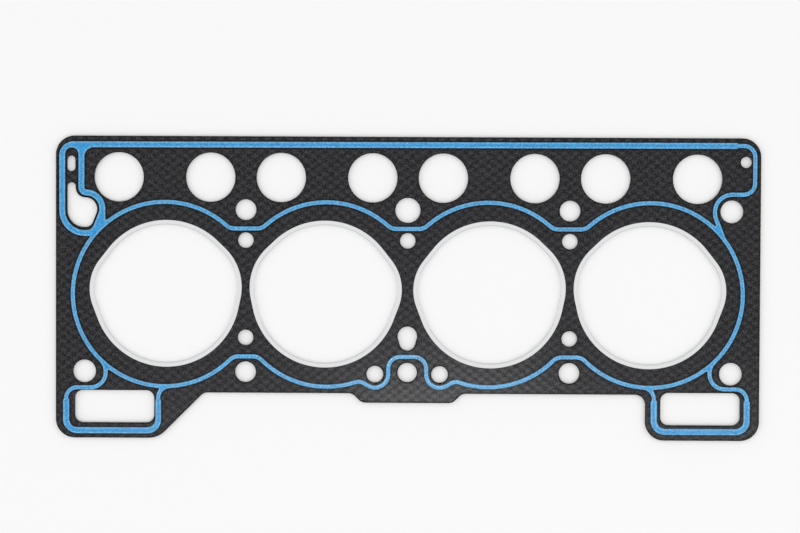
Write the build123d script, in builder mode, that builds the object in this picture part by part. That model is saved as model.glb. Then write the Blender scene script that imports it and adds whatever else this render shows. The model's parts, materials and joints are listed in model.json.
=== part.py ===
from build123d import *
from math import atan2, cos, radians, sin, sqrt, tan
import os

# Composite cylinder head gasket for a four-cylinder overhead-valve engine, lying flat.
# +X runs along the engine, +Y towards the tappet side, +Z up. The origin is under the middle of the
# gasket, on the surface that it lies on. Sketches are drawn in a frame of their own, with x from the
# engine's middle and y from the lower row of head bolts. Lengths are in millimetres.

# Outline of the sheet
HALF_LENGTH = 187.0
TOP_EDGE = 125.1
MIDDLE_BOTTOM_EDGE = -11.15
FOOT_BOTTOM_EDGE = -35.5
TAB_BOTTOM_EDGE = -16.15
TAB_HALF_WIDTH = 24.15
TAB_CORNER_RADIUS = 5.0
OUTER_CORNER_RADIUS = 10.0
LEFT_FOOT_SIDE_TOP = -108.2
LEFT_FOOT_CORNER_RADIUS = 12.0
LEFT_FOOT_ROOT_RADIUS = 4.5
RIGHT_FOOT_SIDE = 126.55
RIGHT_FOOT_ROOT_RADIUS = 5.5

# Thicknesses of the laminate, from the outside in
RING_SHEET = 0.2
FACING_THICKNESS = 0.55
CORE_THICKNESS = 0.3
BEAD_HEIGHT = 0.15

# Combustion openings. Each is the hull of three circles, (x, y, radius), with its nose towards +x
BORE_X = (-128.05, -44.05, 44.05, 128.05)
BORE_Y = 41.5
NOSE_SIDE = (-1, 1, -1, 1)
BORE_CIRCLES = ((0.1, 0.0, 39.04), (15.7, 2.4, 25.3), (-11.0, 3.4, 28.9))
RING_FLANGE = 2.4
FOLD_BEVEL = 0.35

# Round holes
BOLT_ROW_SPACING = 86.2
INNER_BOLT_X = 86.0
INNER_BOLT_RADIUS = 5.5
OUTER_BOLT_X = 171.73
OUTER_BOLT_RADIUS = 6.05
MIDDLE_TOP_BOLT_RADIUS = 6.65
MIDDLE_BOTTOM_BOLT_RADIUS = 5.15
TAPPET_ROW_Y = 103.35
TAPPET_X = (18.72, 67.3, 104.77, 153.45)
TAPPET_RADIUS = 13.1
UPPER_WATER_Y = 70.0
LOWER_WATER_Y = 18.3
WATER_RADIUS = 4.12
OIL_PAIR_X = 17.2
OIL_PAIR_Y = -0.95
OIL_PAIR_RADIUS = 4.46
OIL_FEED_X = 179.13
OIL_FEED_Y = 112.4
OIL_FEED_RADIUS = 2.95

# Shaped openings
WINDOW_X = 155.7
WINDOW_Y = -18.73
WINDOW_LENGTH = 42.25
WINDOW_WIDTH = 17.25
WINDOW_CORNER_RADIUS = 4.25
DOWEL_SLOT_X = -178.87
DOWEL_SLOT_Y = 110.3
DOWEL_SLOT_LENGTH = 8.3
DOWEL_SLOT_WIDTH = 4.28
EGG_TOP_Y = 19.3
EGG_TOP_RADIUS = 5.17
EGG_BOTTOM_Y = 15.85
EGG_BOTTOM_RADIUS = 4.2

# Kidney opening, which joins the tenth bolt hole to an oil passage
KIDNEY_LEFT = -180.97
KIDNEY_NECK_RIGHT = -176.5
KIDNEY_TOP = 100.3
KIDNEY_BOTTOM = 76.6
KIDNEY_NECK_RADIUS = 2.2
KIDNEY_NECK_FILLET = 5.2
KIDNEY_HEEL_RADIUS = 9.0
KIDNEY_TOE_RADIUS = 4.0
KIDNEY_BOLT_X = -171.2
KIDNEY_BOLT_Y = 86.2
KIDNEY_BOLT_RADIUS = 6.1
KIDNEY_SIDE_ANGLE = 68.5

# Printed sealing bead: how far the print is turned on the sheet, in degrees, its narrow and wide line,
# the rounding between two lines that meet, and the line round the combustion openings
PRINT_TURN = 0.1
NARROW = 2.2
WIDE = 3.15
NOTCH_RADIUS = 0.55
BEAD_BORE_X = (-128.9, -43.0, 43.0, 128.9)
BEAD_BORE_Y = 41.35
BEAD_BORE_RADIUS = 49.05
BEAD_TOP_FLAT = 76.35
BEAD_BOTTOM_FLAT = 8.35
BEAD_SADDLE_FILLET = 6.5
BEAD_OIL_RADIUS = 7.1
BEAD_OIL_SHOULDER_RADIUS = 6.35
BEAD_OIL_SLOPE = 30.0
BEAD_CREST_FILLET = 5.0

# Bead round the tappet row and into the two upper corners, as its centre lines
STRIP_TOP = 120.8
STRIP_LEFT = -183.53
STRIP_RIGHT = 184.04
STRIP_CORNER_RADIUS = 6.0
STRIP_NARROW_FROM_X = 175.0
HEEL_BOTTOM = 73.7
HEEL_RADIUS = 11.9
DIVIDER_X = -173.3
DIVIDER_ROOT_RADIUS = 5.0
LOBE_X = -170.75
LOBE_Y = 86.7
LOBE_RADIUS = 8.55
LOBE_BEND_RADIUS = 2.55
LOBE_SIDE_ANGLE = 68.0
LOBE_TOE_RADIUS = 4.0
FINGER_TOP = 119.1
FINGER_RADIUS = 3.5
HOOK_Y = 95.0
HOOK_LEFT = 162.9
HOOK_CORNER_RADIUS = 6.0
HOOK_RADIUS = 9.15
HOOK_KNEE_Y = 83.6
HOOK_KNEE_RADIUS = 8.0
HOOK_END_X = 170.4
HOOK_END_Y = 64.3

# Bead round each window, as its centre lines: far side, near side, bottom, top run, upright, near width
LEFT_LOOP = (181.6, 132.52, -31.31, -8.42, 160.5, 3.0)
RIGHT_LOOP = (180.41, 131.13, -31.1, -8.36, 160.6, 3.4)
LOOP_WIDE = 3.3
LOOP_CORNER_RADIUS = 5.9
LOOP_BOLT_BEND_RADIUS = 8.0
LOOP_UPRIGHT_FILLET = 7.0
LOOP_NEAR_FILLET = 5.2
LOOP_STEP_Y = -15.0

# Two corners closer than this stand on the same line
SAME_PLACE = 0.0001

# Heights worked out from the thicknesses
core_bottom = RING_SHEET + FACING_THICKNESS
upper_facing_bottom = core_bottom + CORE_THICKNESS
stack_top = upper_facing_bottom + FACING_THICKNESS
ring_top = stack_top + RING_SHEET
lower_bolt_row = -(TOP_EDGE + FOOT_BOTTOM_EDGE) / 2

# The fold has two bends, each a 45 degree bevel that keeps the sheet's thickness. Insets from the outer
# edge of a ring's flange: the inside of the fold, and the laminate's edge, which stops where the bevel starts
inner_bevel = FOLD_BEVEL - RING_SHEET * (2 - sqrt(2))
fold_inset = RING_FLANGE - RING_SHEET
stack_inset = fold_inset - inner_bevel


def sheet_plane(height):
    """Plane of a sketch at this height, with its origin on the lower bolt row."""
    return Plane(origin=(0, lower_bolt_row, height))


def outline(corners):
    """Closed outline from its corners, each given as (x, y, fillet radius)."""
    with BuildSketch() as shape:
        with BuildLine():
            FilletPolyline(
                *[(x, y) for x, y, _ in corners],
                radius=[radius for _, _, radius in corners],
                close=True,
            )
        make_face()
    return shape.sketch


def bore_outline(index, inset):
    """One combustion opening, drawn this far inside the outer edge of its ring's flange."""
    with BuildSketch() as opening:
        for x, y, radius in BORE_CIRCLES:
            with Locations((BORE_X[index] + NOSE_SIDE[index] * x, BORE_Y + y)):
                Circle(radius - inset)
        make_hull()
    return opening.sketch


def side_line_x(centre_x, centre_y, radius, angle, y):
    """x at height y of the line at this angle that touches the lower right of a circle."""
    normal = radians(angle - 90)
    touch_x = centre_x + radius * cos(normal)
    touch_y = centre_y + radius * sin(normal)
    return touch_x + (y - touch_y) / tan(radians(angle))


# The sheet's outline, anticlockwise from the upper left corner
left_foot_run = MIDDLE_BOTTOM_EDGE - FOOT_BOTTOM_EDGE
tab_run = MIDDLE_BOTTOM_EDGE - TAB_BOTTOM_EDGE
sheet_corners = (
    (-HALF_LENGTH, TOP_EDGE, OUTER_CORNER_RADIUS),
    (-HALF_LENGTH, FOOT_BOTTOM_EDGE, OUTER_CORNER_RADIUS),
    (LEFT_FOOT_SIDE_TOP - left_foot_run, FOOT_BOTTOM_EDGE, LEFT_FOOT_CORNER_RADIUS),
    (LEFT_FOOT_SIDE_TOP, MIDDLE_BOTTOM_EDGE, LEFT_FOOT_ROOT_RADIUS),
    (-TAB_HALF_WIDTH - tab_run, MIDDLE_BOTTOM_EDGE, TAB_CORNER_RADIUS),
    (-TAB_HALF_WIDTH, TAB_BOTTOM_EDGE, TAB_CORNER_RADIUS),
    (TAB_HALF_WIDTH, TAB_BOTTOM_EDGE, TAB_CORNER_RADIUS),
    (TAB_HALF_WIDTH + tab_run, MIDDLE_BOTTOM_EDGE, TAB_CORNER_RADIUS),
    (RIGHT_FOOT_SIDE, MIDDLE_BOTTOM_EDGE, RIGHT_FOOT_ROOT_RADIUS),
    (RIGHT_FOOT_SIDE, FOOT_BOTTOM_EDGE, OUTER_CORNER_RADIUS),
    (HALF_LENGTH, FOOT_BOTTOM_EDGE, OUTER_CORNER_RADIUS),
    (HALF_LENGTH, TOP_EDGE, OUTER_CORNER_RADIUS),
)

kidney_lobe_top = KIDNEY_BOLT_Y + KIDNEY_BOLT_RADIUS
kidney_toe_x, kidney_lobe_x = [
    side_line_x(KIDNEY_BOLT_X, KIDNEY_BOLT_Y, KIDNEY_BOLT_RADIUS, KIDNEY_SIDE_ANGLE, y)
    for y in (KIDNEY_BOTTOM, kidney_lobe_top)
]
kidney_corners = (
    (KIDNEY_LEFT, KIDNEY_TOP, KIDNEY_NECK_RADIUS),
    (KIDNEY_LEFT, KIDNEY_BOTTOM, KIDNEY_HEEL_RADIUS),
    (kidney_toe_x, KIDNEY_BOTTOM, KIDNEY_TOE_RADIUS),
    (kidney_lobe_x, kidney_lobe_top, KIDNEY_BOLT_RADIUS),
    (KIDNEY_NECK_RIGHT, kidney_lobe_top, KIDNEY_NECK_FILLET),
    (KIDNEY_NECK_RIGHT, KIDNEY_TOP, KIDNEY_NECK_RADIUS),
)

with BuildSketch() as egg:
    with Locations((0, EGG_TOP_Y)):
        Circle(EGG_TOP_RADIUS)
    with Locations((0, EGG_BOTTOM_Y)):
        Circle(EGG_BOTTOM_RADIUS)
    make_hull()

# One die cuts every layer of the laminate: outline, round holes and shaped openings
with BuildSketch() as die:
    add(outline(sheet_corners))
    with Locations([(side * x, TAPPET_ROW_Y) for side in (-1, 1) for x in TAPPET_X]):
        Circle(TAPPET_RADIUS, mode=Mode.SUBTRACT)
    with Locations([(side * INNER_BOLT_X, y) for side in (-1, 1) for y in (0, BOLT_ROW_SPACING)]):
        Circle(INNER_BOLT_RADIUS, mode=Mode.SUBTRACT)
    with Locations((-OUTER_BOLT_X, 0), (OUTER_BOLT_X, 0), (OUTER_BOLT_X, BOLT_ROW_SPACING)):
        Circle(OUTER_BOLT_RADIUS, mode=Mode.SUBTRACT)
    with Locations((0, BOLT_ROW_SPACING)):
        Circle(MIDDLE_TOP_BOLT_RADIUS, mode=Mode.SUBTRACT)
    Circle(MIDDLE_BOTTOM_BOLT_RADIUS, mode=Mode.SUBTRACT)
    with Locations([(x, UPPER_WATER_Y) for x in (-INNER_BOLT_X, 0, INNER_BOLT_X)]):
        Circle(WATER_RADIUS, mode=Mode.SUBTRACT)
    with Locations((-INNER_BOLT_X, LOWER_WATER_Y), (INNER_BOLT_X, LOWER_WATER_Y)):
        Circle(WATER_RADIUS, mode=Mode.SUBTRACT)
    with Locations((-OIL_PAIR_X, OIL_PAIR_Y), (OIL_PAIR_X, OIL_PAIR_Y)):
        Circle(OIL_PAIR_RADIUS, mode=Mode.SUBTRACT)
    with Locations((OIL_FEED_X, OIL_FEED_Y)):
        Circle(OIL_FEED_RADIUS, mode=Mode.SUBTRACT)
    with Locations((-WINDOW_X, WINDOW_Y), (WINDOW_X, WINDOW_Y)):
        RectangleRounded(WINDOW_LENGTH, WINDOW_WIDTH, WINDOW_CORNER_RADIUS, mode=Mode.SUBTRACT)
    with Locations((DOWEL_SLOT_X, DOWEL_SLOT_Y)):
        SlotOverall(DOWEL_SLOT_LENGTH, DOWEL_SLOT_WIDTH, rotation=90, mode=Mode.SUBTRACT)
    add(outline(kidney_corners), mode=Mode.SUBTRACT)
    add(egg.sketch, mode=Mode.SUBTRACT)
    for bore in range(len(BORE_X)):
        add(bore_outline(bore, stack_inset), mode=Mode.SUBTRACT)

# Area inside the centre line of the bead round the combustion openings. Between two openings the line
# runs flat, and under the middle it dips round the pair of oil holes
oil_side_x = OIL_PAIR_X - BEAD_OIL_RADIUS
oil_corner_y = OIL_PAIR_Y - BEAD_OIL_RADIUS * tan(radians((90 + BEAD_OIL_SLOPE) / 2))
oil_slope_x = BEAD_BORE_X[-2]
oil_slope_y = oil_corner_y + (oil_slope_x - oil_side_x) * tan(radians(BEAD_OIL_SLOPE))
with BuildSketch() as bore_area:
    with Locations([(x, BEAD_BORE_Y) for x in BEAD_BORE_X]):
        Circle(BEAD_BORE_RADIUS)
    add(
        outline(
            (
                (BEAD_BORE_X[0], BEAD_TOP_FLAT, 0),
                (BEAD_BORE_X[0], BEAD_BOTTOM_FLAT, 0),
                (BEAD_BORE_X[-1], BEAD_BOTTOM_FLAT, 0),
                (BEAD_BORE_X[-1], BEAD_TOP_FLAT, 0),
            )
        )
    )
    add(
        outline(
            (
                (-oil_slope_x, BEAD_BORE_Y, 0),
                (-oil_slope_x, oil_slope_y, 0),
                (-oil_side_x, oil_corner_y, BEAD_OIL_RADIUS),
                (-oil_side_x, BEAD_BOTTOM_FLAT, BEAD_OIL_SHOULDER_RADIUS),
                (oil_side_x, BEAD_BOTTOM_FLAT, BEAD_OIL_SHOULDER_RADIUS),
                (oil_side_x, oil_corner_y, BEAD_OIL_RADIUS),
                (oil_slope_x, oil_slope_y, 0),
                (oil_slope_x, BEAD_BORE_Y, 0),
            )
        )
    )
    top_corners = bore_area.vertices().filter_by(lambda v: abs(v.Y - BEAD_TOP_FLAT) < SAME_PLACE)
    bottom_corners = bore_area.vertices().filter_by(
        lambda v: abs(v.Y - BEAD_BOTTOM_FLAT) < SAME_PLACE and abs(v.X) > oil_slope_x
    )
    fillet(top_corners + bottom_corners, BEAD_SADDLE_FILLET)
    crests = bore_area.vertices().filter_by(
        lambda v: v.Y < 0 and abs(v.X) > OIL_PAIR_X + BEAD_OIL_RADIUS
    )
    fillet(crests, BEAD_CREST_FILLET)


def grown_bore_area(growth):
    """The area inside the bore line's centre line, grown or, where negative, shrunk."""
    with BuildSketch() as area:
        add(bore_area.sketch)
        offset(amount=growth)
    return area.sketch


# Half widths of the bead's two lines
wide = WIDE / 2
narrow = NARROW / 2

# Straight end of the bead's hook beside the last bolt, as an angle down from the vertical
hook_lean = atan2(HOOK_END_X - HOOK_LEFT, HOOK_KNEE_Y - HOOK_END_Y)


def hook_corners(side):
    """Knee and end of the hook, this far to the right of its centre line."""
    return (
        (HOOK_END_X + side * cos(hook_lean), HOOK_END_Y + side * sin(hook_lean), 0),
        (HOOK_LEFT + side, HOOK_KNEE_Y + side * tan(hook_lean / 2), HOOK_KNEE_RADIUS - side),
        (HOOK_LEFT + side, HOOK_Y - side, HOOK_RADIUS - side),
        (STRIP_RIGHT + side, HOOK_Y - side, HOOK_CORNER_RADIUS + side),
        (STRIP_RIGHT + side, STRIP_TOP + side, STRIP_CORNER_RADIUS + side),
        (STRIP_NARROW_FROM_X, STRIP_TOP + side, 0),
    )


# Outside of the bead round the tappet row, anticlockwise, closed through the bore area
strip_outside = (
    (STRIP_LEFT - wide, STRIP_TOP + wide, STRIP_CORNER_RADIUS + wide),
    (STRIP_LEFT - wide, HEEL_BOTTOM - wide, HEEL_RADIUS + wide),
    (BEAD_BORE_X[0], HEEL_BOTTOM - wide, 0),
    (BEAD_BORE_X[-1], HEEL_BOTTOM - wide, 0),
    *hook_corners(narrow),
    (STRIP_NARROW_FROM_X - wide + narrow, STRIP_TOP + wide, 0),
)

# Inside of the same bead round the tappet row itself. It drops straight from the lobe to the bore line
divider_foot = LOBE_Y + LOBE_RADIUS + wide
lobe_side = LOBE_X + LOBE_RADIUS + wide
tappet_inside = (
    (DIVIDER_X + wide, STRIP_TOP - wide, DIVIDER_ROOT_RADIUS),
    (DIVIDER_X + wide, divider_foot, LOBE_BEND_RADIUS - wide),
    (lobe_side, divider_foot, LOBE_RADIUS + wide),
    (lobe_side, HEEL_BOTTOM, 0),
    (BEAD_BORE_X[-1], HEEL_BOTTOM, 0),
    *hook_corners(-narrow),
    (STRIP_NARROW_FROM_X - wide + narrow, STRIP_TOP - wide, 0),
)

# Inside of the finger that runs up from the kidney opening to the slot in the corner
finger_lobe_top = LOBE_Y + LOBE_RADIUS - wide
finger_toe_x, finger_lobe_x = [
    side_line_x(LOBE_X, LOBE_Y, LOBE_RADIUS - wide, LOBE_SIDE_ANGLE, y)
    for y in (HEEL_BOTTOM + wide, finger_lobe_top)
]
finger_inside = (
    (STRIP_LEFT + wide, FINGER_TOP, FINGER_RADIUS),
    (STRIP_LEFT + wide, HEEL_BOTTOM + wide, HEEL_RADIUS - wide),
    (finger_toe_x, HEEL_BOTTOM + wide, LOBE_TOE_RADIUS),
    (finger_lobe_x, finger_lobe_top, LOBE_RADIUS - wide),
    (DIVIDER_X - wide, finger_lobe_top, LOBE_BEND_RADIUS + wide),
    (DIVIDER_X - wide, FINGER_TOP, FINGER_RADIUS),
)


def loop_corners(loop, end, side):
    """Outside (side 1) or inside (side -1) of the bead round the window at this end (-1 left, 1 right).

    The line is broad below a step on its far and near sides. Its near side turns towards the middle where
    it joins the bore line, and its inside edge keeps the line's width round that turn.
    """
    far, near, bottom, top, upright, near_width = loop
    broad = side * LOOP_WIDE / 2
    near_broad = side * near_width / 2
    thin = side * narrow
    turn_x = near - narrow - LOOP_NEAR_FILLET
    reach = BEAD_BORE_RADIUS + narrow + LOOP_NEAR_FILLET
    turn_y = BEAD_BORE_Y - sqrt(reach**2 - (BEAD_BORE_X[-1] - turn_x) ** 2)
    turn_radius = LOOP_NEAR_FILLET + NARROW
    if side > 0:
        joint = ((near - thin, BEAD_BORE_Y, 0),)
    else:
        joint = (
            (near - thin, turn_y + turn_radius, turn_radius),
            (turn_x - NARROW, turn_y + turn_radius, 0),
            (turn_x - NARROW, BEAD_BORE_Y, 0),
        )
    corners = (
        (far + broad, bottom - broad, LOOP_CORNER_RADIUS + broad),
        (near - near_broad, bottom - broad, LOOP_CORNER_RADIUS + near_broad),
        (near - near_broad, LOOP_STEP_Y, 0),
        (near - thin, LOOP_STEP_Y + abs(near_broad - thin), 0),
        *joint,
        (upright + thin, BEAD_BORE_Y, 0),
        (upright + thin, top + thin, LOOP_BOLT_BEND_RADIUS - thin),
        (far + thin, top + thin, LOOP_CORNER_RADIUS + thin),
        (far + thin, LOOP_STEP_Y + abs(broad - thin), 0),
        (far + broad, LOOP_STEP_Y, 0),
    )
    return [(end * x, y, radius) for x, y, radius in corners]


def notches(vertices):
    """The vertices where a line of the print meets the outer edge of the line round an end opening."""
    reach = BEAD_BORE_RADIUS + narrow
    ends = [Vector(x, BEAD_BORE_Y) for x in (BEAD_BORE_X[0], BEAD_BORE_X[-1])]
    return vertices.filter_by(
        lambda v: abs(v.X) > BEAD_BORE_X[-1]
        and any(abs((Vector(v.X, v.Y) - end).length - reach) < SAME_PLACE for end in ends)
    )


def highest_at(vertices, x):
    """The highest of the vertices that stand at this x."""
    return vertices.filter_by(lambda v: abs(v.X - x) < SAME_PLACE).sort_by(Axis.Y)[-1]


# The whole print: everything inside its outer edge, less the areas that it runs round
with BuildSketch() as bead:
    add(grown_bore_area(narrow))
    add(outline(strip_outside))
    for end, loop in ((-1, LEFT_LOOP), (1, RIGHT_LOOP)):
        add(outline(loop_corners(loop, end, 1)))
    for end, loop in ((-1, LEFT_LOOP), (1, RIGHT_LOOP)):
        near, upright = loop[1], loop[4]
        fillet(highest_at(bead.vertices(), end * (upright + narrow)), LOOP_UPRIGHT_FILLET)
        fillet(highest_at(bead.vertices(), end * (near - narrow)), LOOP_NEAR_FILLET)
    for corners in (tappet_inside, loop_corners(LEFT_LOOP, -1, -1), loop_corners(RIGHT_LOOP, 1, -1)):
        with BuildSketch(mode=Mode.PRIVATE) as field:
            add(outline(corners))
            add(grown_bore_area(narrow), mode=Mode.SUBTRACT)
            fillet(notches(field.vertices()), NOTCH_RADIUS)
        add(field.sketch, mode=Mode.SUBTRACT)
    add(outline(finger_inside), mode=Mode.SUBTRACT)
    add(grown_bore_area(-narrow), mode=Mode.SUBTRACT)


def make_sheet(label, profile, bottom, thickness, turn=0):
    """One flat layer, from its lower face up, with its profile turned by this many degrees."""
    with BuildPart() as sheet:
        with BuildSketch(sheet_plane(bottom)):
            add(profile, rotation=turn)
        extrude(amount=thickness)
    sheet.part.label = label
    export_step(sheet.part, f"parts/{label}.step")


def make_fire_ring(index):
    """Stainless sheet folded round the edge of a combustion opening, with a flange on both faces."""
    with BuildPart() as ring:
        with BuildSketch(sheet_plane(0)):
            add(bore_outline(index, 0))
            add(bore_outline(index, RING_FLANGE), mode=Mode.SUBTRACT)
        extrude(amount=ring_top)
        rims = [face.inner_wires()[0].edges() for face in ring.faces().filter_by(Axis.Z)]
        chamfer(rims, FOLD_BEVEL)
        with BuildSketch(sheet_plane(RING_SHEET)):
            add(bore_outline(index, -RING_FLANGE))
            add(bore_outline(index, fold_inset), mode=Mode.SUBTRACT)
        extrude(amount=stack_top - RING_SHEET, mode=Mode.SUBTRACT)
        flanges = ring.faces().filter_by(Axis.Z).filter_by_position(Axis.Z, RING_SHEET, stack_top)
        chamfer([face.inner_wires()[0].edges() for face in flanges], inner_bevel)
    label = f"fire_ring_{index + 1}"
    ring.part.label = label
    export_step(ring.part, f"parts/{label}.step")


os.makedirs("parts", exist_ok=True)
make_sheet("lower_bead", bead.sketch, RING_SHEET - BEAD_HEIGHT, BEAD_HEIGHT, PRINT_TURN)
make_sheet("lower_facing", die.sketch, RING_SHEET, FACING_THICKNESS)
make_sheet("steel_core", die.sketch, core_bottom, CORE_THICKNESS)
make_sheet("upper_facing", die.sketch, upper_facing_bottom, FACING_THICKNESS)
make_sheet("upper_bead", bead.sketch, stack_top, BEAD_HEIGHT, PRINT_TURN)
for bore in range(len(BORE_X)):
    make_fire_ring(bore)
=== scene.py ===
import json
import logging
import math
from dataclasses import dataclass, field
from enum import Enum

import bpy
import numpy as np
from mathutils import Euler, Matrix, Vector
from mathutils.geometry import delaunay_2d_cdt

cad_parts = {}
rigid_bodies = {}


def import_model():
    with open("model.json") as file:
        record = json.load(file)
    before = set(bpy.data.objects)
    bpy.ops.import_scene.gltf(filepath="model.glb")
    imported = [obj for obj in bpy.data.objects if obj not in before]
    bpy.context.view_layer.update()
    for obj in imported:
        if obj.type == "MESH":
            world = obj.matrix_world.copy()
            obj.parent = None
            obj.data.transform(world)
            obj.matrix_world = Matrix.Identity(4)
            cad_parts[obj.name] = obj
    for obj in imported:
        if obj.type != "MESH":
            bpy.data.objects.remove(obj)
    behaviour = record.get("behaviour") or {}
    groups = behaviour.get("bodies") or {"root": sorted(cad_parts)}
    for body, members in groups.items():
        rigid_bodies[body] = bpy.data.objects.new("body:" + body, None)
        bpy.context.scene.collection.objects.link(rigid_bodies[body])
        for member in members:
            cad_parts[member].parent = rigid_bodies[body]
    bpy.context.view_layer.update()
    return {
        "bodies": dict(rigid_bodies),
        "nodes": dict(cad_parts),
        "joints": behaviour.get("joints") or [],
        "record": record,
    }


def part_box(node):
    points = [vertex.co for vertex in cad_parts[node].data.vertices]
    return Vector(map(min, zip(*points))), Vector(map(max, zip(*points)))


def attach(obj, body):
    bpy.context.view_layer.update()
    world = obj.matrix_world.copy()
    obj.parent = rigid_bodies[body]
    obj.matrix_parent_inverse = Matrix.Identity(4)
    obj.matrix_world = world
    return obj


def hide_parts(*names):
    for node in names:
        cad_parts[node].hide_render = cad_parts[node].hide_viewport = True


MM = 0.001
SAME_POINT = 0.001 * MM
SAME_HEIGHT = 0.01 * MM
BORES = ((-128.05 * MM, -1), (-44.05 * MM, 1), (44.05 * MM, -1), (128.05 * MM, 1))
LOG = logging.getLogger("head_gasket")


class Face(Enum):
    """Side of the gasket that a layer looks out of."""

    UPPER = 1
    LOWER = -1


def linear_rgb(code: str) -> tuple[float, float, float, float]:
    """Turn an sRGB hex colour into linear RGBA.

    Args:
        code: Six hex digits with a leading hash mark.

    Returns:
        Linear red, green, blue and an alpha of 1.
    """
    parts = [int(code[i : i + 2], 16) / 255 for i in (1, 3, 5)]
    red, green, blue = [c / 12.92 if c <= 0.04045 else ((c + 0.055) / 1.055) ** 2.4 for c in parts]
    return red, green, blue, 1.0


def add_node(material: bpy.types.Material, kind: str, links: dict | None = None, **settings) -> bpy.types.Node:
    """Add one shader node, set its values and link its inputs.

    Args:
        material: Material whose node tree takes the node.
        kind: Node type, such as ShaderNodeMath.
        links: Output socket for each linked input, by the input's name or number.
        settings: Node properties, or input values where the name starts with in_.

    Returns:
        The new node.
    """
    node = material.node_tree.nodes.new(kind)
    for name, value in settings.items():
        if not name.startswith("in_"):
            setattr(node, name, value)
    for name, value in settings.items():
        if name.startswith("in_"):
            key = name.removeprefix("in_")
            node.inputs[int(key) if key.isdigit() else key.replace("_", " ")].default_value = value
    for name, socket in (links or {}).items():
        material.node_tree.links.new(socket, node.inputs[name])
    return node


def new_material(name: str) -> tuple[bpy.types.Material, bpy.types.Node]:
    """Make a material.

    Args:
        name: Name of the material.

    Returns:
        The material and its shader node.
    """
    material = bpy.data.materials.new(name)
    material.use_nodes = True
    return material, material.node_tree.nodes["Principled BSDF"]


def boundary_segments(node: bpy.types.Object, height: float) -> np.ndarray:
    """Read the outline of a flat node at one height as an array of segments.

    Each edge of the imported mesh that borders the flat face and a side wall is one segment.

    Args:
        node: CAD node with a flat face at the height.
        height: Height of that face in metres.

    Returns:
        Array of shape (count, 2, 2) with the x and y of both ends, the face on the left.
    """
    mesh = node.data
    points = np.empty(len(mesh.vertices) * 3)
    mesh.vertices.foreach_get("co", points)
    points = points.reshape(-1, 3)
    mesh.calc_loop_triangles()
    corners = np.empty(len(mesh.loop_triangles) * 3, np.int64)
    mesh.loop_triangles.foreach_get("vertices", corners)
    corners = corners.reshape(-1, 3)
    _, first, merged = np.unique(np.round(points / SAME_POINT), axis=0, return_index=True, return_inverse=True)
    points = points[first]
    corners = merged.reshape(-1)[corners]
    flat = corners[np.all(np.abs(points[corners, 2] - height) < SAME_HEIGHT, axis=1)]
    area = np.cross(points[flat[:, 1], :2] - points[flat[:, 0], :2], points[flat[:, 2], :2] - points[flat[:, 0], :2])
    flat = np.where(area[:, None] > 0, flat, flat[:, ::-1])
    edges = flat[:, [0, 1, 1, 2, 2, 0]].reshape(-1, 2)
    key = np.sort(edges, axis=1)
    _, where, times = np.unique(key, axis=0, return_inverse=True, return_counts=True)
    return points[edges[times[where.reshape(-1)] == 1]][:, :, :2]


def split_segments(segments: np.ndarray, pitch: float) -> np.ndarray:
    """Cut each segment into equal pieces no longer than the pitch.

    Args:
        segments: Segments of an outline.
        pitch: Longest piece in metres.

    Returns:
        The pieces, in the same form as the segments.
    """
    length = np.linalg.norm(segments[:, 1] - segments[:, 0], axis=1)
    count = np.maximum(1, np.ceil(length / pitch).astype(int))
    owner = np.repeat(np.arange(len(segments)), count)
    step = np.arange(len(owner)) - np.repeat(np.cumsum(count) - count, count)
    start, run = segments[owner, 0], segments[owner, 1] - segments[owner, 0]
    share = (step / count[owner])[:, None], ((step + 1) / count[owner])[:, None]
    return np.stack([start + run * share[0], start + run * share[1]], axis=1)


def inside_outline(points: np.ndarray, segments: np.ndarray, band: int = 500) -> np.ndarray:
    """Tell which points lie inside the outline.

    A ray upwards from a point crosses the outline an odd number of times when the point is inside. Points
    are taken in narrow upright bands, each against the segments that cross its band.

    Args:
        points: Points as rows of x and y.
        segments: Segments of the outline.
        band: Number of points in a band.

    Returns:
        True for each point that lies inside.
    """
    inside = np.zeros(len(points), bool)
    order = np.argsort(points[:, 0])
    least, most = segments[:, :, 0].min(axis=1), segments[:, :, 0].max(axis=1)
    for block in np.array_split(order, max(1, len(points) // band)):
        x, y = points[block, 0, None], points[block, 1, None]
        near = segments[(least <= x[-1]) & (most >= x[0])]
        a, b = near[:, 0], near[:, 1]
        spans = (a[:, 0] > x) != (b[:, 0] > x)
        with np.errstate(divide="ignore", invalid="ignore"):
            cross = a[:, 1] + (x - a[:, 0]) / (b[:, 0] - a[:, 0]) * (b[:, 1] - a[:, 1])
        inside[block] = (spans & (cross > y)).sum(axis=1) % 2 == 1
    return inside


def outline_distance(
    points: np.ndarray, segments: np.ndarray, reach: float = 4 * MM, batch: int = 300
) -> np.ndarray:
    """Work out how far each point lies from the outline.

    Args:
        points: Points as rows of x and y.
        segments: Segments of the outline.
        reach: Longest distance that matters. Points further away get this value.
        batch: Number of neighbouring points that are taken together.

    Returns:
        The distance of each point in metres.
    """
    distance = np.full(len(points), reach)
    order = np.lexsort((points[:, 0], np.floor(points[:, 1] / (2 * reach))))
    least, most = segments.min(axis=1), segments.max(axis=1)
    for block in np.array_split(order, max(1, len(points) // batch)):
        low, high = points[block].min(axis=0) - reach, points[block].max(axis=0) + reach
        near = segments[np.all((least <= high) & (most >= low), axis=1)]
        if len(near):
            run = near[:, 1] - near[:, 0]
            offset = points[block, None] - near[:, 0]
            share = np.clip((offset * run).sum(axis=2) / (run**2).sum(axis=1), 0, 1)
            gap = ((offset - share[:, :, None] * run) ** 2).sum(axis=2).min(axis=1)
            distance[block] = np.minimum(reach, np.sqrt(gap))
    return distance


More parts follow.
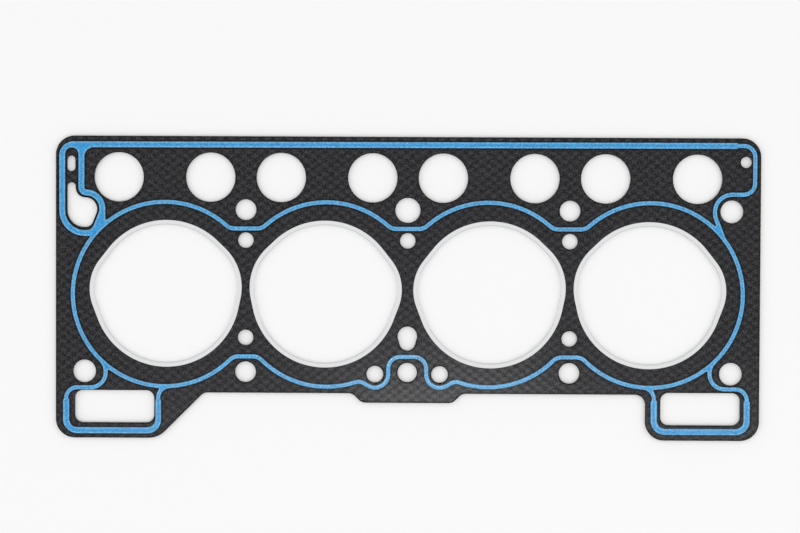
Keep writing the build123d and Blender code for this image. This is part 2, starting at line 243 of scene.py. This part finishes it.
@dataclass
class SheetMesh:
    """Closed mesh of a flat layer whose outer face carries a relief.

    The outer face is a triangulation of the layer's outline with points inside it, and the inner face has
    the outline's points alone. Walls join the two.
    """

    outline: np.ndarray
    inner_points: np.ndarray
    distance: np.ndarray = field(init=False)
    points: np.ndarray = field(init=False)
    rim: np.ndarray = field(init=False)
    outer_faces: np.ndarray = field(init=False)
    inner_faces: np.ndarray = field(init=False)

    def __post_init__(self) -> None:
        """Triangulate both faces and measure how far each point lies from the outline."""
        ends = self.outline.reshape(-1, 2)
        _, first, merged = np.unique(np.round(ends / SAME_POINT), axis=0, return_index=True, return_inverse=True)
        rim_points = ends[first]
        self.rim = merged.reshape(-1, 2)
        self.points = np.vstack([rim_points, self.inner_points])
        self.outer_faces = self._triangulate(self.points, len(rim_points))
        self.inner_faces = self._triangulate(rim_points, len(rim_points))
        self.distance = outline_distance(self.points, self.outline)
        self.distance[: len(rim_points)] = 0.0

    def _triangulate(self, points: np.ndarray, rim_count: int) -> np.ndarray:
        """Triangulate points inside the outline, with the outline's segments kept as edges.

        The triangulation works in single precision, so the test of what is inside rounds the points likewise.

        Args:
            points: The points, those on the outline first.
            rim_count: How many of them are on the outline.

        Returns:
            The triangles that lie inside the outline, anticlockwise.
        """
        flat = (points / MM).astype(np.float32).astype(float)
        edges = [tuple(edge) for edge in self.rim.tolist()]
        hull_triangles, nearness = 0, 1e-5
        _, _, faces, origins, _, _ = delaunay_2d_cdt(
            [Vector(p) for p in flat], edges, [], hull_triangles, nearness
        )
        source = np.array([group[0] if group else -1 for group in origins])
        faces = source[np.array(faces)]
        faces = faces[np.all(faces >= 0, axis=1)]
        edge_only = np.all(faces < rim_count, axis=1)
        keep = np.ones(len(faces), bool)
        keep[edge_only] = inside_outline(flat[faces[edge_only]].mean(axis=1), flat[self.rim])
        return faces[keep]

    def build(self, name: str, side: Face, base: float, heights: np.ndarray, sheen: np.ndarray) -> bpy.types.Object:
        """Make the object.

        Args:
            name: Name of the object.
            side: Side that the relief looks out of.
            base: Height of the inner face in metres.
            heights: Height of each point of the outer face in metres.
            sheen: Value of each point for the attribute that the finish reads.

        Returns:
            The object, at the origin.
        """
        count = int(self.rim.max()) + 1
        outer = np.column_stack([self.points, heights])
        inner = np.column_stack([self.points[:count], np.full(count, base)])
        shift = len(outer)
        a, b = self.rim[:, 0], self.rim[:, 1]
        walls = np.vstack([np.column_stack([a, a + shift, b + shift]), np.column_stack([a, b + shift, b])])
        faces = np.vstack([self.outer_faces, self.inner_faces[:, ::-1] + shift, walls])
        if side is Face.LOWER:
            faces = faces[:, ::-1]
        mesh = bpy.data.meshes.new(name)
        mesh.from_pydata(np.vstack([outer, inner]), [], faces.tolist())
        smooth = np.zeros(len(faces), bool)
        smooth[: len(self.outer_faces)] = True
        mesh.polygons.foreach_set("use_smooth", smooth)
        values = mesh.attributes.new("relief", "FLOAT", "POINT")
        values.data.foreach_set("value", np.concatenate([sheen, np.zeros(count)]).astype(np.float32))
        mesh.validate()
        thing = bpy.data.objects.new(name, mesh)
        bpy.context.scene.collection.objects.link(thing)
        return thing


@dataclass(frozen=True)
class GraphiteFinish:
    """Expanded graphite sheet, rolled onto a punched core: near black, with a burnished skin.

    Its flecks and grain are drawn coarser than real ones, so that they show in the render.
    """

    dark: str = "#080809"
    light: str = "#424246"
    base: float = 0.03
    # Strength of the light colour on the dimples, a painted sheen of their polished crests.
    pattern: float = 0.7
    fleck: float = 5.0
    fleck_mm: float = 0.5
    grain_mm: float = 0.5
    drawn_out: float = 0.7
    bump: float = 0.2
    bump_mm: float = 0.02
    roughness: float = 0.16
    specular: float = 0.15

    def material(self) -> bpy.types.Material:
        """Make the material.

        The relief attribute is 1 on a pressed dimple, 0 between them and below 0 beside the print, where the
        sheet is painted darker as shade at the print's foot. The light colour shows on the dimples as a painted
        sheen of their polished crests, and on flecks of graphite that rolling has drawn out along x, and a fine
        grain breaks up the sheen.

        Returns:
            The material.
        """
        material, shader = new_material("graphite_sheet_rolled")
        place = add_node(material, "ShaderNodeTexCoord")
        relief = add_node(material, "ShaderNodeAttribute", attribute_name="relief")
        rolled = add_node(
            material, "ShaderNodeMapping", {"Vector": place.outputs["Object"]}, in_Scale=(self.drawn_out, 1.0, 1.0)
        )
        fleck = add_node(
            material, "ShaderNodeTexNoise", {"Vector": rolled.outputs["Vector"]},
            in_Scale=1 / (self.fleck_mm * MM), in_Detail=2.0, in_Roughness=0.7,
        )
        tone = add_node(
            material, "ShaderNodeMath", {0: fleck.outputs["Fac"]},
            operation="MULTIPLY_ADD", in_1=self.fleck, in_2=self.base - self.fleck / 2,
        )
        # Painted sheen on the dimples and painted shade beside the print, both carried by the relief attribute.
        tone = add_node(
            material, "ShaderNodeMath", {0: relief.outputs["Fac"], 2: tone.outputs["Value"]},
            operation="MULTIPLY_ADD", in_1=self.pattern,
        )
        colour = add_node(
            material, "ShaderNodeMix", {0: tone.outputs["Value"]}, data_type="RGBA",
            in_6=linear_rgb(self.dark), in_7=linear_rgb(self.light),
        )
        material.node_tree.links.new(colour.outputs[2], shader.inputs["Base Color"])
        grain = add_node(
            material, "ShaderNodeTexNoise", {"Vector": place.outputs["Object"]},
            in_Scale=1 / (self.grain_mm * MM), in_Detail=1.0,
        )
        bump = add_node(
            material, "ShaderNodeBump", {"Height": grain.outputs["Fac"]},
            in_Strength=self.bump, in_Distance=self.bump_mm * MM,
        )
        material.node_tree.links.new(bump.outputs["Normal"], shader.inputs["Normal"])
        shader.inputs["Roughness"].default_value = self.roughness
        shader.inputs["Specular IOR Level"].default_value = self.specular
        return material


@dataclass(frozen=True)
class SiliconeFinish:
    """Screen-printed silicone: satin sky blue, with a painted highlight on its raised edges, and a slight mottle.

    The mottle is drawn coarser than the screen's mesh, so that it shows in the render.
    """

    # Paler blue of the painted highlight on the raised lips.
    edge: str = "#79B0D2"
    middle: str = "#1891D2"
    base: float = 0.1
    # How much of the painted highlight colour shows on the lip.
    lip: float = 0.75
    mottle: float = 2.3
    mottle_mm: float = 0.75
    roughness: float = 0.17
    specular: float = 0.36

    def material(self) -> bpy.types.Material:
        """Make the material.

        The relief attribute is 1 on the line's edges and 0 in its middle. The edge colour, a paler blue painted
        as the highlight on the raised lips, shows where it is high, and noise varies the brightness.

        Returns:
            The material.
        """
        material, shader = new_material("silicone_screen_printed")
        place = add_node(material, "ShaderNodeTexCoord")
        relief = add_node(material, "ShaderNodeAttribute", attribute_name="relief")
        # Painted highlight: the paler edge colour is mixed in where the relief attribute is high.
        tone = add_node(
            material, "ShaderNodeMath", {0: relief.outputs["Fac"]},
            operation="MULTIPLY_ADD", in_1=self.lip, in_2=self.base,
        )
        colour = add_node(
            material, "ShaderNodeMix", {0: tone.outputs["Value"]}, data_type="RGBA",
            in_6=linear_rgb(self.middle), in_7=linear_rgb(self.edge),
        )
        noise = add_node(
            material, "ShaderNodeTexNoise", {"Vector": place.outputs["Object"]},
            in_Scale=1 / (self.mottle_mm * MM), in_Detail=2.0, in_Roughness=0.6,
        )
        level = add_node(
            material, "ShaderNodeMath", {0: noise.outputs["Fac"]},
            operation="MULTIPLY_ADD", in_1=self.mottle, in_2=1 - self.mottle / 2,
        )
        mottled = add_node(
            material, "ShaderNodeHueSaturation", {"Color": colour.outputs[2], "Value": level.outputs["Value"]}
        )
        material.node_tree.links.new(mottled.outputs["Color"], shader.inputs["Base Color"])
        shader.inputs["Roughness"].default_value = self.roughness
        shader.inputs["Specular IOR Level"].default_value = self.specular
        return material


@dataclass(frozen=True)
class SteelFinish:
    """Rolled steel sheet: a metal that mirrors the room, more softly the rougher its surface is."""

    name: str
    colour: str
    roughness: float

    def material(self) -> bpy.types.Material:
        """Make the material, which has one colour and roughness all over.

        Returns:
            The material.
        """
        material, shader = new_material(self.name)
        shader.inputs["Base Color"].default_value = linear_rgb(self.colour)
        shader.inputs["Metallic"].default_value = 1.0
        shader.inputs["Roughness"].default_value = self.roughness
        return material


# Bright stainless sheet: pale grey, with soft reflections of the white room.
RING_STEEL = SteelFinish("stainless_sheet_bright", "#E0E1E2", 0.2)

# Cold-rolled sheet: a darker, duller grey, seen as a thin line between the facings in the cut edges.
CORE_STEEL = SteelFinish("core_steel_cold_rolled", "#8F9092", 0.4)


@dataclass
class Facing:
    """Graphite facings with the core's punched pattern pressed through them.

    The pattern is a centred lattice: a dimple on every corner of a rectangle and one in its middle.
    """

    lattice_x: float = 6.185 * MM
    lattice_y: float = 4.597 * MM
    first_dimple: tuple[float, float] = (-0.84 * MM, 0.86 * MM)
    dimple_x: float = 1.75 * MM
    dimple_y: float = 1.15 * MM
    dimple_depth: float = 0.02 * MM
    grid: float = 0.7 * MM
    rim_pitch: float = 1.5 * MM
    rim_margin: float = 0.45 * MM
    fade_width: float = 1.2 * MM
    # Painted shade: how dark and how wide the facing is made beside the print's edge.
    print_edge_shade: float = 2.2
    print_edge_shade_width: float = 0.5 * MM
    finish: GraphiteFinish = field(default_factory=GraphiteFinish)

    def pattern(self, points: np.ndarray) -> np.ndarray:
        """Strength of the pressed pattern at each point, from 0 between dimples to 1 on them.

        A dimple is a short level bar. Its strength falls off as a bell across it and, with a flatter top,
        along it. Each point is measured from the nearest dimple of either half of the lattice.

        Args:
            points: Points as rows of x and y.

        Returns:
            The strength at each point.
        """
        pitch = np.array([self.lattice_x, self.lattice_y])
        strength = np.zeros(len(points))
        for shift in (0.0, 0.5):
            offset = (points - self.first_dimple) / pitch + shift
            x, y = ((offset - np.round(offset)) * pitch).T
            strength += np.exp(-((x / self.dimple_x) ** 4) - (y / self.dimple_y) ** 2)
        return strength

    def mesh(self, node: bpy.types.Object, height: float) -> SheetMesh:
        """Lay a grid of points inside the facing's outline and triangulate it.

        Every second row of the grid is moved by half a step, so that its triangles are nearly equilateral.

        Args:
            node: CAD node of the facing.
            height: Height of the facing's outer face in metres.

        Returns:
            The triangulated sheet.
        """
        outline = split_segments(boundary_segments(node, height), self.rim_pitch)
        low, high = outline.reshape(-1, 2).min(axis=0), outline.reshape(-1, 2).max(axis=0)
        x = np.arange(low[0], high[0], self.grid)
        y = np.arange(low[1], high[1], self.grid * math.sqrt(3) / 2)
        across, along = np.meshgrid(x, y)
        across = across + (np.arange(len(y)) % 2)[:, None] * self.grid / 2
        points = np.column_stack([across.ravel(), along.ravel()])
        points = points[inside_outline(points, outline)]
        points = points[outline_distance(points, outline) > self.rim_margin]
        return SheetMesh(outline, points)

    def build(self, frame: dict) -> list[bpy.types.Object]:
        """Build both facings in place of their CAD nodes.

        The pattern fades out towards the outline, in proportion to the distance from it. The painted shade at
        the print's foot falls off from the print's edge as a bell.

        Returns:
            The upper and the lower facing.
        """
        material = self.finish.material()
        pieces = []
        sheet = self.mesh(frame["nodes"]["upper_facing"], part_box("upper_facing")[1].z)
        pattern = self.pattern(sheet.points)
        fade = np.clip(sheet.distance / self.fade_width, 0, 1)
        print_edge = boundary_segments(frame["nodes"]["upper_bead"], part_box("upper_bead")[0].z)
        # Painted shade at the foot of the print, darkening the facing beside its edge.
        print_edge_shade = self.print_edge_shade * np.exp(-((outline_distance(sheet.points, print_edge) / self.print_edge_shade_width) ** 2))
        for side, node in ((Face.UPPER, "upper_facing"), (Face.LOWER, "lower_facing")):
            low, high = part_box(node)
            base, top = (low.z, high.z) if side is Face.UPPER else (high.z, low.z)
            heights = top - side.value * self.dimple_depth * (1 - pattern) * fade
            # The attribute carries the dimples' painted sheen less the painted shade beside the print.
            piece = sheet.build(f"{node}_dimpled", side, base, heights, pattern * fade - print_edge_shade)
            piece.data.materials.append(material)
            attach(piece, "root")
            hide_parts(node)
            LOG.info("%s: %d triangles", piece.name, len(piece.data.polygons))
            pieces.append(piece)
        return pieces


@dataclass
class SealingBead:
    """Printed silicone line with raised edges, as a screen leaves it, on each face."""

    rim_pitch: float = 0.8 * MM
    rows: tuple[float, ...] = (0.1 * MM, 0.25 * MM, 0.45 * MM, 0.7 * MM)
    row_gap: float = 0.15 * MM
    row_share: float = 0.98
    grid: float = 0.6 * MM
    lip_at: float = 0.4 * MM
    lip_width: float = 0.28 * MM
    middle_height: float = 0.72
    foot_height: float = 0.15
    edge_spread: float = 1.3
    finish: SiliconeFinish = field(default_factory=SiliconeFinish)

    def section(self, distance: np.ndarray) -> np.ndarray:
        """Height of the print as a share of its full height, at this distance from its edge.

        The edge rises along a quarter of an ellipse to the full height, and a bell-shaped lip stands above
        the flat middle.

        Args:
            distance: Distance of each point from the print's edge in metres.

        Returns:
            The share at each point.
        """
        rise = np.sqrt(1 - (1 - np.clip(distance / self.lip_at, 0, 1)) ** 2)
        lip = np.exp(-(((distance - self.lip_at) / self.lip_width) ** 2))
        return rise * (self.middle_height + (1 - self.middle_height) * lip)

    def mesh(self, node: bpy.types.Object, height: float) -> SheetMesh:
        """Lay rows of points along the line's edges and a grid in its middle, and triangulate them.

        A row's point is dropped where it lies closer to another stretch of the edge than to its own.

        Args:
            node: CAD node of the print.
            height: Height of the print's inner face in metres.

        Returns:
            The triangulated sheet.
        """
        outline = split_segments(boundary_segments(node, height), self.rim_pitch)
        run = outline[:, 1] - outline[:, 0]
        normal = np.column_stack([-run[:, 1], run[:, 0]]) / np.linalg.norm(run, axis=1)[:, None]
        middle = outline.mean(axis=1)
        sets = []
        for row in self.rows:
            points = middle + normal * row
            sets.append(points[outline_distance(points, outline) > self.row_share * row])
        low, high = outline.reshape(-1, 2).min(axis=0), outline.reshape(-1, 2).max(axis=0)
        across, along = np.meshgrid(np.arange(low[0], high[0], self.grid), np.arange(low[1], high[1], self.grid))
        points = np.column_stack([across.ravel(), along.ravel()])
        points = points[inside_outline(points, outline)]
        sets.append(points[outline_distance(points, outline) > self.rows[-1] + self.row_gap])
        return SheetMesh(outline, np.vstack(sets))

    def build(self, frame: dict) -> list[bpy.types.Object]:
        """Build both prints in place of their CAD nodes.

        The edge colour, a painted highlight, is strongest on the lip and falls off to both sides as a bell.

        Returns:
            The upper and the lower print.
        """
        material = self.finish.material()
        pieces = []
        sheet = self.mesh(frame["nodes"]["upper_bead"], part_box("upper_bead")[0].z)
        share = self.section(sheet.distance)
        # Painted highlight: weight of the paler edge colour across the print.
        edge = np.exp(-(((sheet.distance - self.lip_at) / (self.edge_spread * self.lip_width)) ** 2))
        for side, node in ((Face.UPPER, "upper_bead"), (Face.LOWER, "lower_bead")):
            low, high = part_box(node)
            base, top = (low.z, high.z) if side is Face.UPPER else (high.z, low.z)
            heights = base + (top - base) * (self.foot_height + (1 - self.foot_height) * share)
            piece = sheet.build(f"{node}_print", side, base, heights, edge)
            piece.data.materials.append(material)
            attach(piece, "root")
            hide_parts(node)
            LOG.info("%s: %d triangles", piece.name, len(piece.data.polygons))
            pieces.append(piece)
        return pieces


@dataclass
class FireRing:
    """Stainless sheet folded round one combustion opening, with the fold truly round.

    The opening is the hull of three circles, so its outline at any inset is found from the direction that it
    faces: in each direction, the circle that reaches furthest gives the point.
    """

    index: int
    centre_x: float
    nose: int
    centre_y: float = -3.3 * MM
    circles: tuple[tuple[float, float, float], ...] = (
        (0.1 * MM, 0.0, 39.04 * MM),
        (15.7 * MM, 2.4 * MM, 25.3 * MM),
        (-11.0 * MM, 3.4 * MM, 28.9 * MM),
    )
    flange: float = 2.4 * MM
    sheet: float = 0.2 * MM
    fold_radius: float = 0.55 * MM
    edge_radius: float = 0.07 * MM
    guard: float = 0.04 * MM
    fold_steps: int = 9
    edge_steps: int = 4
    steps: int = 420

    def outline(self, insets: np.ndarray) -> np.ndarray:
        """Outline at each inset, as an array of shape (insets, steps, 2).

        For each direction, the reach of a circle is its centre's share along the direction plus its radius,
        and the outline runs on the circle with the longest reach.

        Args:
            insets: Distances inwards from the ring's outer edge in metres.

        Returns:
            The outlines.
        """
        angle = np.linspace(0, 2 * math.pi, self.steps, endpoint=False)
        facing = np.column_stack([np.cos(angle), np.sin(angle)])
        centres = np.array([[self.centre_x + self.nose * x, self.centre_y + y] for x, y, _ in self.circles])
        radii = np.array([radius for _, _, radius in self.circles])
        best = (facing @ centres.T + radii).argmax(axis=1)
        reach = radii[best][None, :] - insets[:, None]
        return centres[best][None] + reach[:, :, None] * facing[None]

    def section(self, height: float) -> np.ndarray:
        """Closed section of the folded sheet as inset and height, anticlockwise seen along the outline.

        Both skins of the sheet are quarter circles at the fold and straight between, and the sheet's cut
        edges are rounded. A guard point at each end of a straight keeps it flat where the shading is smooth.

        Args:
            height: Height of the folded ring in metres.

        Returns:
            Rows of inset and height.
        """
        quarter = np.linspace(0, math.pi / 2, self.fold_steps)
        tip = np.linspace(0, math.pi / 2, self.edge_steps)
        centre, edge, guard = self.flange - self.fold_radius, self.edge_radius, self.guard
        skins = []
        for radius in (self.fold_radius, self.fold_radius - self.sheet):
            bend = np.column_stack([centre + radius * np.sin(quarter), self.fold_radius - radius * np.cos(quarter)])
            flat = self.fold_radius - radius
            straight = [(edge + guard, flat), (centre - guard, flat)]
            skins.append(np.vstack([straight, bend, [(self.flange - flat, self.fold_radius + guard)]]))
        tip_low = np.column_stack([edge - edge * np.cos(tip), edge - edge * np.sin(tip)])
        tip_high = np.column_stack([tip_low[:, 0], self.sheet - tip_low[:, 1]])[::-1]
        lower_out = np.vstack([tip_high, tip_low, skins[0]])
        flipped = [1, -1]
        return np.vstack([
            lower_out, lower_out[::-1] * flipped + [0, height], skins[1] * flipped + [0, height], skins[1][::-1],
        ])

    def build(self, material: bpy.types.Material) -> bpy.types.Object:
        """Carry the section round the opening, in place of the ring's CAD node.

        Args:
            material: Finish of the ring.

        Returns:
            The ring.
        """
        node = f"fire_ring_{self.index}"
        low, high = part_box(node)
        section = self.section(high.z - low.z)
        loops = self.outline(section[:, 0])
        count, steps = loops.shape[:2]
        heights = np.repeat(section[:, 1] + low.z, steps)
        points = np.column_stack([loops.reshape(-1, 2), heights])
        row, step = np.meshgrid(np.arange(count), np.arange(steps), indexing="ij")
        next_row, next_step = (row + 1) % count, (step + 1) % steps
        corners = [(row, step), (next_row, step), (next_row, next_step), (row, next_step)]
        faces = np.stack([across * steps + along for across, along in corners], axis=-1).reshape(-1, 4)
        mesh = bpy.data.meshes.new(f"{node}_folded")
        mesh.from_pydata(points, [], faces.tolist())
        folded = np.minimum(section[:, 0], np.roll(section[:, 0], -1)) >= self.edge_radius
        mesh.polygons.foreach_set("use_smooth", np.repeat(folded, steps))
        mesh.materials.append(material)
        piece = bpy.data.objects.new(mesh.name, mesh)
        bpy.context.scene.collection.objects.link(piece)
        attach(piece, "root")
        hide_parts(node)
        LOG.info("%s: %d faces", piece.name, len(faces))
        return piece


@dataclass(frozen=True)
class Softbox:
    """Oblong soft light over or beside the gasket.

    Its share is the light that it gives a level white surface under it, where 1 renders white.
    """

    name: str
    place: tuple[float, float, float]
    size: tuple[float, float]
    share: float

    def hang(self) -> bpy.types.Object:
        """Hang the light, turned about the y axis towards the gasket if it is beside it.

        The power is the share times pi squared times the squared distance, over the cosine of the angle at
        which the light falls, and once more over it for a light that faces straight down.

        Returns:
            The light.
        """
        data = bpy.data.lights.new(self.name, "AREA")
        data.shape, data.size, data.size_y = "RECTANGLE", self.size[0], self.size[1]
        spot = Vector(self.place)
        beside = abs(spot.x) > spot.z
        turn = Matrix.Rotation(math.atan2(spot.x, spot.z) if beside else 0.0, 4, "Y")
        lean = spot.z / spot.length
        data.energy = self.share * math.pi**2 * spot.length_squared / (lean if beside else lean**2)
        light = bpy.data.objects.new(self.name, data)
        light.matrix_world = Matrix.Translation(spot) @ turn
        bpy.context.scene.collection.objects.link(light)
        return light


@dataclass
class Studio:
    """Copy stand: the camera high above the gasket, a white table and large soft lights."""

    camera_place: tuple[float, float, float] = (2.904 * MM, 35.405 * MM, 1004.289 * MM)
    camera_turn: tuple[float, float, float] = (-1.3601, 0.3989, 0.2792)
    lens_mm: float = 85.0
    sensor_mm: float = 36.0
    near_clip: float = 0.05
    table: str = "#FBFBFB"
    table_half: float = 3.0
    table_roughness: float = 0.9
    world: float = 0.767
    room_lights: tuple[Softbox, ...] = (
        Softbox("left_softbox", (-2.0, 0.0, 1.2), (1.3, 1.8), 0.045),
        Softbox("right_softbox", (2.0, 0.0, 1.2), (1.3, 1.8), 0.045),
        Softbox("top_softbox", (0.0, -0.1, 2.4), (1.9, 1.9), 0.05),
    )
    glare_lights: tuple[Softbox, ...] = (
        Softbox("strip_light", (0.06, -0.32, 2.2), (0.32, 0.1), 0.035),
        Softbox("window_light", (0.185, -0.405, 2.2), (1.4, 0.12), 0.068),
    )

    def camera(self) -> None:
        """Set the camera at the place and angle that the photo was taken from."""
        data = bpy.data.cameras.new("camera")
        data.lens, data.sensor_width, data.clip_start = self.lens_mm, self.sensor_mm, self.near_clip
        camera = bpy.data.objects.new("camera", data)
        turn = Euler([math.radians(a) for a in self.camera_turn], "ZYX").to_matrix().to_4x4()
        camera.matrix_world = Matrix.Translation(self.camera_place) @ turn
        bpy.context.scene.collection.objects.link(camera)
        bpy.context.scene.camera = camera

    def glare(self, rings: list[bpy.types.Object]) -> None:
        """Hang the strip and window lights, whose light leaves the rings out.

        The points that would mirror them into the camera lie on the gasket's lower middle and just below its
        lower edge, so that the burnished graphite shows a broad soft glare there. The rings' bright folds
        would show them as sparks.

        Args:
            rings: The fire rings.
        """
        shield = bpy.data.collections.new("kept_off_rings")
        for ring in rings:
            shield.objects.link(ring)
        for member in shield.collection_objects:
            member.light_linking.link_state = "EXCLUDE"
        for softbox in self.glare_lights:
            softbox.hang().light_linking.receiver_collection = shield

    def floor(self) -> None:
        """Lay the white table under the gasket."""
        half = self.table_half
        mesh = bpy.data.meshes.new("table")
        corners = [(-half, -half, 0), (half, -half, 0), (half, half, 0), (-half, half, 0)]
        mesh.from_pydata(corners, [], [(0, 1, 2, 3)])
        material, shader = new_material("white_table_laminate")
        shader.inputs["Base Color"].default_value = linear_rgb(self.table)
        shader.inputs["Roughness"].default_value = self.table_roughness
        shader.inputs["Specular IOR Level"].default_value = 0.0
        mesh.materials.append(material)
        table = bpy.data.objects.new("table", mesh)
        bpy.context.scene.collection.objects.link(table)

    def build(self, rings: list[bpy.types.Object]) -> None:
        """Set the camera, the lights, the white room and the table.

        Args:
            rings: The fire rings.
        """
        scene = bpy.context.scene
        scene.view_settings.view_transform = "Standard"
        self.camera()
        for softbox in self.room_lights:
            softbox.hang()
        self.glare(rings)
        scene.world = bpy.data.worlds.new("white_room")
        scene.world.use_nodes = True
        background = scene.world.node_tree.nodes["Background"]
        background.inputs["Color"].default_value = (1, 1, 1, 1)
        background.inputs["Strength"].default_value = self.world
        self.floor()


def main() -> None:
    """Build the gasket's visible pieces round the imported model."""
    logging.basicConfig(level=logging.INFO, format="%(name)s: %(message)s")
    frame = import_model()
    Facing().build(frame)
    SealingBead().build(frame)
    ring_steel = RING_STEEL.material()
    rings = [FireRing(index, x, nose).build(ring_steel) for index, (x, nose) in enumerate(BORES, 1)]
    Studio().build(rings)
    core = frame["nodes"]["steel_core"]
    core.material_slots[0].material = CORE_STEEL.material()


if __name__ == "__main__":
    main()
